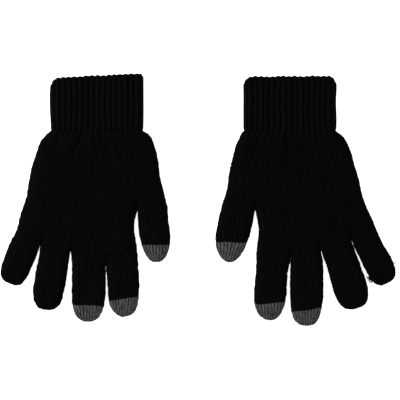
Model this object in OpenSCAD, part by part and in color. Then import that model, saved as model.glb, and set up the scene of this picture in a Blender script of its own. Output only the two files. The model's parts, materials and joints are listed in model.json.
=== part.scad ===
// A pair of knitted gloves lying flat, palm side up, on the plane z = 0.
// X runs across the pair, Y from the fingertips to the cuffs, Z up out of the palms.
// Every knitted part is a hollow tube, flat underneath and rounded at its sides.
// A glove is drawn in its own frame: x outward to the little finger, y from the wrist
// to the fingertips. It is then turned over and mirrored to its place in the pair.

/* [Pair] */
// Place of the left glove's cuff across the pair
left_place = -86; // [-110:0.5:-80]
// Place of the right glove's cuff across the pair
right_place = 78; // [75:0.5:110]
// Place of both wrists along the pair
wrist_place = 56.5; // [50:0.5:60]

/* [Knit] */
// Thickness of the knitted wall
wall = 2.2; // [1.8:0.1:2.6]
// Space between two tubes that bend against each other
bend_gap = 0.4; // [0.3:0.1:0.8]

/* [Cuff] */
// Flat width of the cuff over its ribs
cuff_width = 79; // [70:0.5:84]
// Length of the cuff from its open edge to the wrist
cuff_length = 49.3; // [40:0.1:60]
// Height of the cuff over its ribs
cuff_height = 13; // [12:0.5:14]
// Thickness of the cuff's wall over its ribs
cuff_wall = 3; // [2.8:0.1:3.4]
// Number of ribs around the cuff
rib_count = 36; // [24:2:44]
// Depth of the valleys between the ribs
rib_depth = 1.1; // [0.4:0.1:1.2]
// Length of the finished edge at the cuff's mouth
edge_length = 3; // [2:0.5:5]
// Number of elastic yarns laid into the cuff
elastic_rows = 6; // [3:1:7]
// Thickness of one elastic yarn
elastic_thickness = 0.8; // [0.6:0.1:1]

/* [Hand] */
// Width where the hand meets the cuff
heel_width = 82; // [76:0.5:86]
// Height where the hand meets the cuff
heel_height = 13; // [12:0.5:14]
// Distance from the wrist to the fullest part of the gathers
gather_reach = 7.5; // [6:0.5:10]
// Distance from the wrist to the thumb's crotch
web_reach = 63; // [58:0.5:66]
// Height in the middle of the palm
palm_height = 14; // [13:0.5:15]
// Left palm's centre and width at the gathers, then at the thumb's crotch
left_palm = [0, 95, 14.8, 93]; // [0:0.1:100]
// Left palm's end: centre across, reach, width and slant
left_palm_end = [13.5, 105.3, 97, -11]; // [-20:0.1:120]
// Right palm's centre and width at the gathers, then at the thumb's crotch
right_palm = [1.5, 93, 18.5, 92]; // [0:0.1:100]
// Right palm's end: centre across, reach, width and slant
right_palm_end = [19.5, 100.6, 97, -14]; // [-20:0.1:120]

/* [Fingers] */
// Height of a finger or thumb
finger_height = 11; // [10.5:0.5:12]
// Share of a finger's length that lies between its root and its middle joint
joint_share = 0.46; // [0.42:0.01:0.48]
// Length over which a fingertip narrows
tip_taper = 21; // [20:0.5:24]
// Height of the closed end of a fingertip
tip_height = 5.6; // [5:0.2:7]

/* [Left glove] */
// Left thumb's root across and along the hand, outward turn, and length
left_thumb = [-47.6, 71.8, -6, 37.4]; // [-60:0.1:130]
// Left index finger's root across and along the hand, outward turn, and length
left_index = [-22.1, 120.3, -2, 35.7]; // [-60:0.1:130]
// Left middle finger's root across and along the hand, outward turn, and length
left_middle = [6.8, 120.3, 1, 39.1]; // [-60:0.1:130]
// Left ring finger's root across and along the hand, outward turn, and length
left_ring = [36.6, 106.7, 9.5, 43.4]; // [-60:0.1:130]
// Left little finger's root across and along the hand, outward turn, and length
left_little = [60.4, 97.3, 22.5, 32.7]; // [-60:0.1:130]
// Widths from the left thumb to the left little finger
left_widths = [25.2, 26.4, 27.6, 24.8, 23.2]; // [22:0.1:28]
// Lengths of the caps from the left thumb to the left little finger
left_caps = [15.1, 15.7, 13.6, 12, 12]; // [10:0.1:17]
// Where each left digit starts inside the hand, from the thumb: across
left_start_across = [-24.5, -21.5, 6.5, 34, 48.5]; // [-30:0.5:60]
// Where each left digit starts inside the hand, from the thumb: along
left_start_along = [10, 100, 100, 92, 60]; // [5:0.5:105]

/* [Right glove] */
// Right thumb's root across and along the hand, outward turn, and length
right_thumb = [-44.4, 70.6, -9.5, 39.2]; // [-60:0.1:130]
// Right index finger's root across and along the hand, outward turn, and length
right_index = [-14.7, 116.9, -3, 41.7]; // [-60:0.1:130]
// Right middle finger's root across and along the hand, outward turn, and length
right_middle = [14.2, 116.9, 0, 46.8]; // [-60:0.1:130]
// Right ring finger's root across and along the hand, outward turn, and length
right_ring = [42.3, 102.9, 17, 48]; // [-60:0.1:130]
// Right little finger's root across and along the hand, outward turn, and length
right_little = [65.8, 92.1, 25.5, 38.3]; // [-60:0.1:130]
// Widths from the right thumb to the right little finger
right_widths = [26, 26.4, 27.2, 26.6, 22]; // [22:0.1:28]
// Lengths of the caps from the right thumb to the right little finger
right_caps = [16.3, 15, 14.9, 12, 12]; // [10:0.1:17]
// Where each right digit starts inside the hand, from the thumb: across
right_start_across = [-23, -14, 14, 39, 51.5]; // [-30:0.5:60]
// Where each right digit starts inside the hand, from the thumb: along
right_start_along = [10, 96, 96, 88, 58]; // [5:0.5:105]

/* [Hidden] */

// Each glove as: place across the pair, side, palm, digits, widths, caps, palm end, digit starts
LEFT = [left_place, -1, left_palm,
        [left_thumb, left_index, left_middle, left_ring, left_little], left_widths, left_caps,
        left_palm_end, left_start_across, left_start_along];
RIGHT = [right_place, 1, right_palm,
         [right_thumb, right_index, right_middle, right_ring, right_little], right_widths, right_caps,
         right_palm_end, right_start_across, right_start_along];
THUMB = 0;
INDEX = 1;
MIDDLE = 2;
RING = 3;
LITTLE = 4;

BLACK = "#17171a";
RIB_BLACK = "#1e1e22";
GREY = "#6c6c70";
ELASTIC = "#3a3a3e";

sides = 20;               // corners of a tube's section
side_round = 0.62;        // squareness of a section: smaller is squarer
flat_share = 1.15;        // how much of a section's underside lies flat
slab = 0.2;               // thickness of the slices that hulls join
start_widths = [42, 25, 25, 23, 24]; // widths of the digits' starts inside the hand
start_height = 12;        // height of a digit's start inside the hand
digit_lift = 0.15;        // digits leave the hand this much above its underside
through = 1;              // how far a cavity runs past an open end
rib_steps = 4;            // corners for each rib
edge_inset = 0.4;         // the finished edge stands this much inside the ribs
elastic_width = 1.6;      // width of one elastic yarn along the cuff
elastic_play = 0.05;      // space around an elastic yarn in its groove
half_gap = bend_gap / 2;
// Steps along a fingertip, as shares of the tapering length
tip_steps = [0.35, 0.6, 0.78, 0.9, 0.97];

function glove_digit(glove, digit) = glove[3][digit];
function digit_width(glove, digit) = glove[4][digit];
function digit_length(glove, digit) = glove_digit(glove, digit)[3];
function cap_start(glove, digit) = digit_length(glove, digit) - glove[5][digit];
function joint_reach(glove, digit) = digit_length(glove, digit) * joint_share;

function signed_power(v, e) = sign(v) * pow(abs(v), e);

// One corner of a section w wide and h high that stands z0 above the table
function section_corner(w, h, z0, a) = [
    w / 2 * signed_power(cos(a), side_round),
    z0 + h / 2 * (1 + max(-1, (a > 180 ? flat_share : 1) * signed_power(sin(a), side_round)))
];
function section(w, h, z0 = 0) = [
    for (i = [0:sides - 1]) section_corner(w, h, z0, 360 * (i + 0.5) / sides)
];

// Width and height of a digit at a distance s from its root
function taper(glove, digit, s) =
    let (into = max(0, s - (digit_length(glove, digit) - tip_taper)) / tip_taper)
    sqrt(max(0, 1 - into * into));
function width_at(glove, digit, s) = digit_width(glove, digit) * taper(glove, digit, s);
function height_at(glove, digit, s) =
    tip_height + (finger_height - tip_height) * pow(taper(glove, digit, s), 0.5);

// A station of a tube: distance along it, width, height, and height above the table
function outer_station(glove, digit, s) =
    [s, width_at(glove, digit, s), height_at(glove, digit, s), 0];
function inner_station(glove, digit, s) =
    [s, width_at(glove, digit, s) - 2 * wall, height_at(glove, digit, s) - 2 * wall, wall];

function station_ring(st) = [for (p = section(st[1], st[2], st[3])) [p[0], st[0], p[1]]];
function rings(stations) = [for (st = stations) each station_ring(st)];

// Faces of the skin between ring r and the next one, counted from the point first
function skin(first, r) = [
    for (i = [0:sides - 1])
        let (a = first + r * sides + i, b = first + r * sides + (i + 1) % sides)
        [a, b, b + sides, a + sides]
];
function turned(faces) = [for (f = faces) [for (k = [len(f) - 1:-1:0]) f[k]]];
// Flat face between the outer ring that starts at a and the inner ring that starts at b
function rim(a, b) = [
    for (i = [0:sides - 1]) let (j = (i + 1) % sides) [a + i, b + i, b + j, a + j]
];
function disc(first) = [for (i = [0:sides - 1]) first + i];

// A tube with an open start, and with an end that is open or closed
module shell(outer, inner, closed) {
    last = len(outer) - 1;
    inner_last = len(inner) - 1;
    first_in = len(outer) * sides;
    end_out = last * sides;
    end_in = first_in + inner_last * sides;
    ends = closed ? concat([disc(end_out)], turned([disc(end_in)])) : turned(rim(end_out, end_in));
    polyhedron(
        points = concat(rings(outer), rings(inner)),
        faces = concat(
            [for (r = [0:last - 1]) each skin(0, r)],
            [for (r = [0:inner_last - 1]) each turned(skin(first_in, r))],
            rim(0, first_in),
            ends
        ),
        convexity = 6
    );
}

// Puts a part drawn in a glove's own frame in its place in the pair
module placed(glove) {
    translate([glove[0], wrist_place, 0])
        mirror([glove[1] < 0 ? 1 : 0, 0, 0])
            mirror([0, 1, 0])
                children();
}

// Puts a part drawn along +y in place at a digit's root
module at_root(glove, digit) {
    root = glove_digit(glove, digit);
    translate([root[0], root[1], 0])
        rotate(-root[2])
            children();
}

module digit_base(glove, digit) {
    from = half_gap;
    to = joint_reach(glove, digit) - half_gap;
    placed(glove)
        at_root(glove, digit)
            shell([for (s = [from, to]) outer_station(glove, digit, s)],
                  [for (s = [from, to]) inner_station(glove, digit, s)],
                  false);
}

module digit_middle(glove, digit) {
    from = joint_reach(glove, digit) + half_gap;
    to = cap_start(glove, digit);
    placed(glove)
        at_root(glove, digit)
            shell([for (s = [from, to]) outer_station(glove, digit, s)],
                  [for (s = [from, to]) inner_station(glove, digit, s)],
                  false);
}

module digit_cap(glove, digit) {
    start = cap_start(glove, digit);
    taper_start = digit_length(glove, digit) - tip_taper;
    steps = [for (k = tip_steps) if (taper_start + k * tip_taper > start + 1) taper_start + k * tip_taper];
    cavity_end = digit_length(glove, digit) - 2.4 * wall;
    placed(glove)
        at_root(glove, digit)
            shell([for (s = concat([start], steps)) outer_station(glove, digit, s)],
                  [for (s = [start, (start + cavity_end) / 2, cavity_end]) inner_station(glove, digit, s)],
                  true);
}

// A thin slice of tube across the hand, drawn smaller by inset
module hand_slice(centre, y, width, height, inset, lift = 0) {
    translate([centre, y, 0])
        rotate([90, 0, 0])
            linear_extrude(slab, center = true)
                polygon(section(width - 2 * inset, height - lift - 2 * inset, inset + lift));
}

// The hand's outside with inset 0, and the room inside it with inset wall.
// run is how far the room is taken past the openings.
module hand_body(glove, inset, run) {
    palm = glove[2];
    end = glove[6];
    hull() {
        hand_slice(0, half_gap + slab / 2 - run, heel_width, heel_height, inset);
        hand_slice(palm[0], gather_reach, palm[1], palm_height, inset);
    }
    hull() {
        hand_slice(palm[0], gather_reach, palm[1], palm_height, inset);
        hand_slice(palm[2], web_reach, palm[3], palm_height, inset);
    }
    hull() {
        hand_slice(palm[2], web_reach, palm[3], palm_height, inset);
        translate([end[0], end[1], 0])
            rotate(end[3])
                hand_slice(0, -inset, end[2], start_height, inset);
    }
    for (digit = [THUMB:LITTLE])
        hull() {
            hand_slice(glove[7][digit], glove[8][digit], start_widths[digit], start_height, inset, digit_lift);
            at_root(glove, digit)
                hand_slice(0, run - half_gap - slab / 2, digit_width(glove, digit), finger_height, inset, digit_lift);
        }
}

module hand(glove) {
    placed(glove)
        difference() {
            hand_body(glove, 0, 0);
            hand_body(glove, wall, through);
        }
}

// Point and outward normal on a flattened loop, a share t of the way around it
function loop_point(w, h, t) =
    let (
        flat = w - h,
        round_half = PI * h / 2,
        around = 2 * flat + 2 * round_half,
        s = t * around,
        a = (s - flat) / round_half * 180,
        b = (s - 2 * flat - round_half) / round_half * 180
    )
    s < flat ? [flat / 2 - s, h, 0, 1]
    : s < flat + round_half ? [-flat / 2 - h / 2 * sin(a), h / 2 + h / 2 * cos(a), -sin(a), cos(a)]
    : s < 2 * flat + round_half ? [s - flat - round_half - flat / 2, 0, 0, -1]
    : [flat / 2 + h / 2 * sin(b), h / 2 - h / 2 * cos(b), sin(b), -cos(b)];

// Outline of the ribbed cuff: crests and valleys in turn
module ribbed_outline() {
    count = rib_count * rib_steps;
    polygon([
        for (i = [0:count - 1])
            let (p = loop_point(cuff_width, cuff_height, i / count), low = i % rib_steps < 2 ? 0 : rib_depth)
            [p[0] - low * p[2], p[1] - low * p[3]]
    ]);
}

// A plain flattened loop that lies the depth inset inside the cuff's crests
module plain_outline(inset) {
    count = 2 * sides;
    polygon([
        for (i = [0:count - 1])
            let (p = loop_point(cuff_width, cuff_height, i / count))
            [p[0] - inset * p[2], p[1] - inset * p[3]]
    ]);
}

// Draws an outline across the cuff, from one distance from the wrist to another
module across_cuff(from, to) {
    translate([0, -from, 0])
        rotate([90, 0, 0])
            linear_extrude(to - from)
                children();
}

function elastic_row(i) =
    half_gap + (cuff_length - edge_length - half_gap) * (i + 1) / (elastic_rows + 1);

module cuff(glove) {
    groove = elastic_thickness + elastic_play;
    placed(glove)
        difference() {
            across_cuff(half_gap, cuff_length - edge_length) ribbed_outline();
            across_cuff(-through, cuff_length + through) plain_outline(cuff_wall);
            for (i = [0:elastic_rows - 1])
                across_cuff(elastic_row(i) - elastic_width / 2 - elastic_play,
                            elastic_row(i) + elastic_width / 2 + elastic_play)
                    plain_outline(cuff_wall - groove);
        }
}

module cuff_edge(glove) {
    placed(glove)
        difference() {
            across_cuff(cuff_length - edge_length, cuff_length) plain_outline(edge_inset);
            across_cuff(-through, cuff_length + through) plain_outline(cuff_wall);
        }
}

module cuff_elastic(glove) {
    placed(glove)
        for (i = [0:elastic_rows - 1])
            difference() {
                across_cuff(elastic_row(i) - elastic_width / 2, elastic_row(i) + elastic_width / 2)
                    plain_outline(cuff_wall - elastic_thickness);
                across_cuff(-through, cuff_length + through) plain_outline(cuff_wall);
            }
}

module left_cuff() { color(RIB_BLACK) cuff(LEFT); }
module left_cuff_edge() { color(BLACK) cuff_edge(LEFT); }
module left_cuff_elastic() { color(ELASTIC) cuff_elastic(LEFT); }
module left_hand() { color(BLACK) hand(LEFT); }
module left_thumb_base() { color(BLACK) digit_base(LEFT, THUMB); }
module left_thumb_middle() { color(BLACK) digit_middle(LEFT, THUMB); }
module left_thumb_cap() { color(GREY) digit_cap(LEFT, THUMB); }
module left_index_base() { color(BLACK) digit_base(LEFT, INDEX); }
module left_index_middle() { color(BLACK) digit_middle(LEFT, INDEX); }
module left_index_cap() { color(GREY) digit_cap(LEFT, INDEX); }
module left_middle_base() { color(BLACK) digit_base(LEFT, MIDDLE); }
module left_middle_middle() { color(BLACK) digit_middle(LEFT, MIDDLE); }
module left_middle_cap() { color(GREY) digit_cap(LEFT, MIDDLE); }
module left_ring_base() { color(BLACK) digit_base(LEFT, RING); }
module left_ring_middle() { color(BLACK) digit_middle(LEFT, RING); }
module left_ring_cap() { color(BLACK) digit_cap(LEFT, RING); }
module left_little_base() { color(BLACK) digit_base(LEFT, LITTLE); }
module left_little_middle() { color(BLACK) digit_middle(LEFT, LITTLE); }
module left_little_cap() { color(BLACK) digit_cap(LEFT, LITTLE); }
module right_cuff() { color(RIB_BLACK) cuff(RIGHT); }
module right_cuff_edge() { color(BLACK) cuff_edge(RIGHT); }
module right_cuff_elastic() { color(ELASTIC) cuff_elastic(RIGHT); }
module right_hand() { color(BLACK) hand(RIGHT); }
module right_thumb_base() { color(BLACK) digit_base(RIGHT, THUMB); }
module right_thumb_middle() { color(BLACK) digit_middle(RIGHT, THUMB); }
module right_thumb_cap() { color(GREY) digit_cap(RIGHT, THUMB); }
module right_index_base() { color(BLACK) digit_base(RIGHT, INDEX); }
module right_index_middle() { color(BLACK) digit_middle(RIGHT, INDEX); }
module right_index_cap() { color(GREY) digit_cap(RIGHT, INDEX); }
module right_middle_base() { color(BLACK) digit_base(RIGHT, MIDDLE); }
module right_middle_middle() { color(BLACK) digit_middle(RIGHT, MIDDLE); }
module right_middle_cap() { color(GREY) digit_cap(RIGHT, MIDDLE); }
module right_ring_base() { color(BLACK) digit_base(RIGHT, RING); }
module right_ring_middle() { color(BLACK) digit_middle(RIGHT, RING); }
module right_ring_cap() { color(BLACK) digit_cap(RIGHT, RING); }
module right_little_base() { color(BLACK) digit_base(RIGHT, LITTLE); }
module right_little_middle() { color(BLACK) digit_middle(RIGHT, LITTLE); }
module right_little_cap() { color(BLACK) digit_cap(RIGHT, LITTLE); }

left_cuff();
left_cuff_edge();
left_cuff_elastic();
left_hand();
left_thumb_base();
left_thumb_middle();
left_thumb_cap();
left_index_base();
left_index_middle();
left_index_cap();
left_middle_base();
left_middle_middle();
left_middle_cap();
left_ring_base();
left_ring_middle();
left_ring_cap();
left_little_base();
left_little_middle();
left_little_cap();
right_cuff();
right_cuff_edge();
right_cuff_elastic();
right_hand();
right_thumb_base();
right_thumb_middle();
right_thumb_cap();
right_index_base();
right_index_middle();
right_index_cap();
right_middle_base();
right_middle_middle();
right_middle_cap();
right_ring_base();
right_ring_middle();
right_ring_cap();
right_little_base();
right_little_middle();
right_little_cap();
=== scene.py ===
"""A pair of knitted touchscreen gloves, lying flat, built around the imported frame.

The knit of a glove is one grid of stitches. Its wales run from the wrist through the palm into the
fingers, so the shape, the stitches and the places where one piece ends and the next begins all
come from the same rows and columns. Lengths are in millimetres in a glove's own flat frame:
u outward to the little finger, v from the wrist to the fingertips, z up out of the palm.
"""
import json
import math
from collections import namedtuple

import bpy
import numpy as np
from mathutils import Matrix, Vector


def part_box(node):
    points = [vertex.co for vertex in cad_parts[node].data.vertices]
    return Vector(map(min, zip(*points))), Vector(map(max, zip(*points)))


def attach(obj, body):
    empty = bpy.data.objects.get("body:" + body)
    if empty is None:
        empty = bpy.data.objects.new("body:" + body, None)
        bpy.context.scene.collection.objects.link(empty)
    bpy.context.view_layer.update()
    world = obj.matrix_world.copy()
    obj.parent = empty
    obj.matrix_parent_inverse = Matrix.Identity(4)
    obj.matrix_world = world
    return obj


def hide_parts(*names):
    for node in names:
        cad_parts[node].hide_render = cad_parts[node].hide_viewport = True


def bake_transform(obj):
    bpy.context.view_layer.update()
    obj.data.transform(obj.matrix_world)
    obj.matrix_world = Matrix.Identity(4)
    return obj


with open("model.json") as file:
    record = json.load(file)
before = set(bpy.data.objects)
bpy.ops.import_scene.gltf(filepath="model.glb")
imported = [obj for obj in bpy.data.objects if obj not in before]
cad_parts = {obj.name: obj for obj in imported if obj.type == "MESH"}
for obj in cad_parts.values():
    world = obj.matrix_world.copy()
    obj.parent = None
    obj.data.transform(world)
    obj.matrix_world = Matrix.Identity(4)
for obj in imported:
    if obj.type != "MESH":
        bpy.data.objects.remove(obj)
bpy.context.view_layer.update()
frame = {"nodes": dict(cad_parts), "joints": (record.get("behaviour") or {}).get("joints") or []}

MM = 0.001
SIDES = {"left": -1, "right": 1}
SEEDS = {"left": 11, "right": 23}
DIGITS = ("thumb", "index", "middle", "ring", "little")
PARTS = ("root", "middle", "cap")
LABELS = ["palm", "back"] + [f"{digit}_{part}" for digit in DIGITS for part in PARTS]
GREY_TIPS = ("thumb", "index", "middle")
FLOOR_GAP = 0.02  # nothing comes nearer to the floor than this

# The knit
WALES = {"thumb": 10, "index": 11, "middle": 11, "ring": 11, "little": 10}
COLS = 6  # columns of the grid for each wale
ROWS = 4  # rows of the grid for each course
MOST_COURSES = 100  # more than any wale has
COURSE = 1.75  # length of one course
STITCH_DEPTH = 0.75  # how far a stitch stands out of the valley beside it
STITCH_SAG = 0.9  # how far the middle of a stitch hangs towards the fingertips
LEG_OFFSET = 0.22  # distance of a stitch's leg from its wale's middle, in wales
LEG_LEAN = 0.05  # how much farther out it is at the leg's end
LEG_WIDTH = 0.22
LEG_SHARE = 0.55  # the legs' share of the stitch's height; the wale's broad rib has the rest
# The next share splits the painted shade: the legs and each wale's broad rib are painted light, and the
# grooves between wales are painted shade.
LEG_PAINTED_SHADE = 0.4  # the legs' share of the shading between wales
STITCH_LEVEL = 0.55  # height, as a share of a stitch, that lies on the base surface
GATHERED_STITCH = 0.35 # share of its depth that a stitch keeps next to the cuff
KNIT_PROUD = 0.4  # how far the knit stands out past the frame's tubes at each side
UV_MARGIN = 0.01  # room around each face in a piece's texture
MERGE_PER_MM = 1e4  # points closer than one part in this many of a millimetre are one

# The wandering of the worn fabric: a seed's offset, wavelength and size for each of its fields
WANDER_ACROSS = ((0, 26, 0.3), (8, 4, 0.13))
WANDER_ALONG = ((1, 26, 0.3), (9, 4, 0.13))
WANDER_UP = ((2, 38, 0.45), (3, 16, 0.16))
WANDER_STITCH = ((4, 6, 0.7),)
WANDER_CUFF = ((7, 30, 0.35),)
WANDER_FADE = 12.0  # length past the wrist over which the wandering sets in
ROUND_HEIGHT = 12.0  # height at which the upper face takes all of it
STITCH_UNEVEN = 0.25

# Loose fibre ends standing off the knit
FIBRES = 11000  # on one glove
FIBRE_SEED = 5
FIBRE_RISE = (0.15, 0.9)
FIBRE_LENGTH = (0.5, 1.5)
FIBRE_SUNK = 0.1
FIBRE_HALF = 0.06  # half width at its root
FIBRE_END = 0.02  # half width at its end

# The hand
KNIT_START = -4.5  # the hand's first course, a little way up under the cuff's ribs
WRIST_SHARES = {"thumb": 0.16, "index": 0.215, "middle": 0.215, "ring": 0.21, "little": 0.2}
WRIST_LEAN = 0.6  # how much of its way to a crotch a wale leans at the wrist
GATHER_BULGE = 6.2  # how far the hand swells just past the cuff
GATHER_REACH = 5.0  # length over which it swells
CROTCH_BACK = 8.0  # a crotch lies this far behind the knuckle hinge
CROTCH_RISE = {"left": {3: 2.0}, "right": {2: 4.5}}  # and this much farther back at some digits
MEETING_COURSES = 7  # length over which a digit's own height takes over past its crotch
PINCH_COURSES = 8  # length of the crease that runs into the palm from a crotch
PINCH_POWER = 1.5  # how late that crease comes down
CREASE_WIDTH = 3.2  # half width of that crease where it is shallow
SIDE_ROUND = 8.5  # width over which a finger's side rounds down
PALM_ROUND = 10.0  # the same at the sides of the hand
CUFF_HEIGHT = 13.2
PALM_HEIGHT = 13.6
DIGIT_HEIGHT = 11.0
TIP_HEIGHT = 7.6
PALM_REACH = 24.0  # length over which the height goes from the cuff's to the palm's
DIGIT_REACH = 30.0  # length before a knuckle over which the palm turns into the digit
TIP_REACH = 17.0  # length over which the height goes from the digit's to the tip's

# Half widths of the hand on each side of its middle line, at these distances past the wrist
OUTLINE_AT = (-4.5, 1, 6, 11, 16, 26, 46, 56)
OUTLINE = {
    "left": {
        "thumb": (39.6, 45.0, 47.6, 49.2, 50.6, 52.4, 55.8, 58.0),
        "little": (39.6, 43.4, 47.2, 49.6, 51.4, 54.4, 58.7, 60.6),
    },
    "right": {
        "thumb": (39.5, 41.7, 44.4, 46.4, 47.7, 49.9, 53.3, 56.6),
        "little": (39.8, 44.4, 47.9, 50.3, 52.3, 55.0, 60.1, 63.0),
    },
}
OUTLINE_CLEAR = 3  # courses before a digit's root where the outline's marks end

# How each digit of this worn pair differs from the frame's even tubes: its shift outward, its
# extra half width and length, how many degrees its courses lean where the tip yarn starts, and how
# far the hand's edge draws in at its root
Worn = namedtuple("Worn", "shift_root shift_tip widen_root widen_tip longer lean tuck")
WORN = {
    "left": {
        "thumb": (-0.4, 0.0, 0.1, 0.2, 1.3, -6.0, 0.0),
        "index": (0.0, -0.2, 0.0, 0.3, 0.8, 5.0, 0.0),
        "middle": (0.0, 0.0, 0.2, 0.5, 1.3, -2.0, 0.0),
        "ring": (0.0, 0.1, 0.4, 0.5, 1.3, 0.0, 0.0),
        "little": (1.7, 1.4, 0.3, 0.6, 1.6, 0.0, 0.6),
    },
    "right": {
        "thumb": (-1.2, -1.6, 1.5, 0.3, 0.8, -9.5, 1.3),
        "index": (-0.6, -0.8, 0.2, 0.7, 0.8, -6.0, 0.0),
        "middle": (0.2, 0.4, 0.0, 0.5, 0.9, -8.5, 0.0),
        "ring": (0.2, 0.8, 0.3, 0.8, 1.3, 0.0, 0.0),
        "little": (0.1, 0.8, 0.3, 0.8, 1.8, 0.0, 0.0),
    },
}

# Fingertips: length over which each narrows, and how square its end is
TIP_TAPER = {"thumb": 27.0, "index": 27.0, "middle": 27.0, "ring": 20.0, "little": 18.0}
TIP_SQUARE = {"thumb": 2.1, "index": 2.25, "middle": 2.4, "ring": 2.5, "little": 2.6}
TIP_LATER = {"left": {}, "right": {"index": 1, "middle": 1}}  # courses by which a tip yarn starts late
END_SHARE = 0.5  # width of a fingertip's last course, as a share of the finger's width
END_ROUND = 7.0  # length over which the end rounds down
BOW_LENGTH = 12.0  # length over which the courses bow to follow the end
EASE_REACH = 14.0  # length over which two neighbours' sides part from their crotch
TUCK_REACH = 14.0  # length over which a digit's root edge draws in
THUMB_SPREAD = {"left": 0.36, "right": 0.42}  # how fast the index leaves the thumb's crotch
FINGER_SPREAD = 0.1  # how fast the other fingers leave theirs
LEAN_REACH = 13.0  # distance from the tip yarn's first course over which the courses lean

# Stretches around the hinges where the fabric would bend, measured along a digit from its hinges; these
# places are worked out, but nothing is bent with them
KNUCKLE_BEFORE = 4.4
KNUCKLE_AFTER = 6.0
JOINT_BEFORE = 5.5
JOINT_AFTER = 4.5
CAP_CLEAR = 0.6  # the stretch around the joint ends at least this far before the tip yarn
WRIST_BEFORE = 9.0
WRIST_AFTER = 7.0

# The cuff
RIBS = 36
RIB_COLS = 10
RIB_DEPTH = 1.3
RIB_CREST = 0.7  # how broad the crests are: lower is broader
RIB_SPREAD = 12.0  # how far the ribs fan out as they fade into the hand
RIB_LONGER = 0.7  # how much farther a crest reaches than a valley at the mouth
RIB_UNEVEN = (-0.45, 0.35)
UNEVEN_SEED = 50
EMERGE_DEPTH = 1.3  # how far the hand's first course lies below the ribs
EMERGE_REACH = 5.0  # length over which it comes up to them
RIB_FADE = 15.0  # length over which the ribs fade out into the hand
INNER_RIB = 0.8  # depth of the ribs on the inner face, as a share of the outer face's
CUFF_STITCH = 0.55
VALLEY_STITCH = 0.4  # share of their height that stitches keep in the valleys
CUFF_PROUD = 0.2  # how far the ribs stand out past the frame's cuff at each side
CUFF_WALL = 2.6
CUFF_TUCK = 1.0  # how far the cuff runs under the hand, past the wrist line
TUCK_DEPTH = 1.9  # how deep the cuff's end lies there
TUCK_PAST = 0.5
LINING_TUCK = 12.0  # how far its inner face runs into the hand
EDGE_LENGTH = 3.0
LIP = 1.2  # how far the rolled edge bulges past the last course
LIP_STEPS = 8
MOUTH_REACH = 12.0  # length over which the mouth's unevenness sets in
CORNER_FALL = 2.0  # how fast that unevenness ends on the rounded corners
CUFF_SHORT = {"left": 0.6, "right": 1.0}  # how much shorter than the frame's the worn cuff is
CUFF_SLANT = {"left": 2.1, "right": -0.3}
CUFF_CORNER = {"left": {"thumb": 2.6, "little": 6.4}, "right": {"thumb": 6.8, "little": 6.4}}

# The covered elastic yarns in the cuff
ELASTIC_YARNS = 6
ELASTIC_RADIUS = 0.42
ELASTIC_STEPS = 360
ELASTIC_SIDES = 8
ELASTIC_WAVE = 0.2

# Soft folds and creases where the hand is gathered into the cuff: across, along, turn, length,
# width, height (negative for a crease)
FOLD_SHARP = 1.6
FOLDS = {
    "left": [
        (15, 6, 21, 18, 1.6, -1.9), (-6, 8, -24, 20, 1.6, -2.0), (24, 10, 24, 18, 3.4, 1.0),
        (4, 9, 4, 14, 3.6, 0.9), (-14, 14, -28, 20, 3.4, 1.0), (-30, 6, -14, 14, 2.0, -0.9),
        (34, 8, 18, 14, 1.8, -0.9),
    ],
    "right": [
        (-2, 13, 2, 26, 1.7, -2.1), (5, 15, 5, 22, 3.4, 1.0), (-9, 15, -4, 22, 3.4, 0.9),
        (-28, 9, -12, 13, 1.8, -1.2), (24, 5, 14, 14, 1.8, -1.3), (12, 4, 6, 10, 1.6, -0.8),
        (-38, 12, -12, 16, 3.0, 0.8),
    ],
}

# Frayed yarn at the right little fingertip: how far back from its end each strand leaves, on which
# side, how it runs ahead and away from there, and its radius
FRAY = [
    (12.0, -1, -1.2, 1.8, 0.6), (11.2, -1, 0.2, 2.6, 0.6), (10.4, -1, 1.0, 2.8, 0.6),
    (9.6, -1, 2.0, 2.5, 0.6), (8.8, -1, 2.6, 1.6, 0.6), (10.8, -1, 2.2, 1.0, 0.6),
    (11.6, -1, -0.4, 2.0, 0.6), (10.0, -1, 0.6, 1.8, 0.6), (9.2, -1, 1.6, 2.8, 0.6),
    (12.5, 1, -3.2, 4.4, 0.4),
]
FRAY_SEED = 90
FRAY_STEPS = 14
FRAY_SIDES = 6
FRAY_SUNK = 0.6  # how far inside the finger's edge a strand starts
FRAY_END = 0.5  # a strand's radius at its end, as a share of its radius at the root
FRAY_CURL = 0.5
FRAY_HEIGHT = (3.5, 6.5)
FRAY_CLIMB = 1.5
STRAND_UP = (0.3, 0.2, 0.93)  # no strand runs this way


# Curves
def smooth(t):
    t = np.clip(t, 0.0, 1.0)
    return t * t * (3 - 2 * t)


def hermite(start, start_way, end, end_way, samples=200):
    t = np.linspace(0, 1, samples)[:, None]
    return (
        (2 * t ** 3 - 3 * t ** 2 + 1) * start
        + (t ** 3 - 2 * t ** 2 + t) * start_way
        + (3 * t ** 2 - 2 * t ** 3) * end
        + (t ** 3 - t ** 2) * end_way
    )


def spline(marks, samples=24):
    """A smooth line through the marks."""
    marks = np.array(marks, dtype=float)
    ways = np.gradient(marks, axis=0)
    parts = [
        hermite(marks[k], ways[k], marks[k + 1], ways[k + 1], samples)[:-1]
        for k in range(len(marks) - 1)
    ]
    return np.vstack(parts + [marks[-1:]])


def spaced(line, steps):
    """The line again, as steps + 1 points at equal distances."""
    run = np.concatenate([[0], np.cumsum(np.linalg.norm(np.diff(line, axis=0), axis=1))])
    at = np.linspace(0, run[-1], steps + 1)
    return np.stack([np.interp(at, run, line[:, k]) for k in range(2)], axis=1)


def line_length(line):
    return np.linalg.norm(np.diff(line, axis=0), axis=1).sum()


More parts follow.
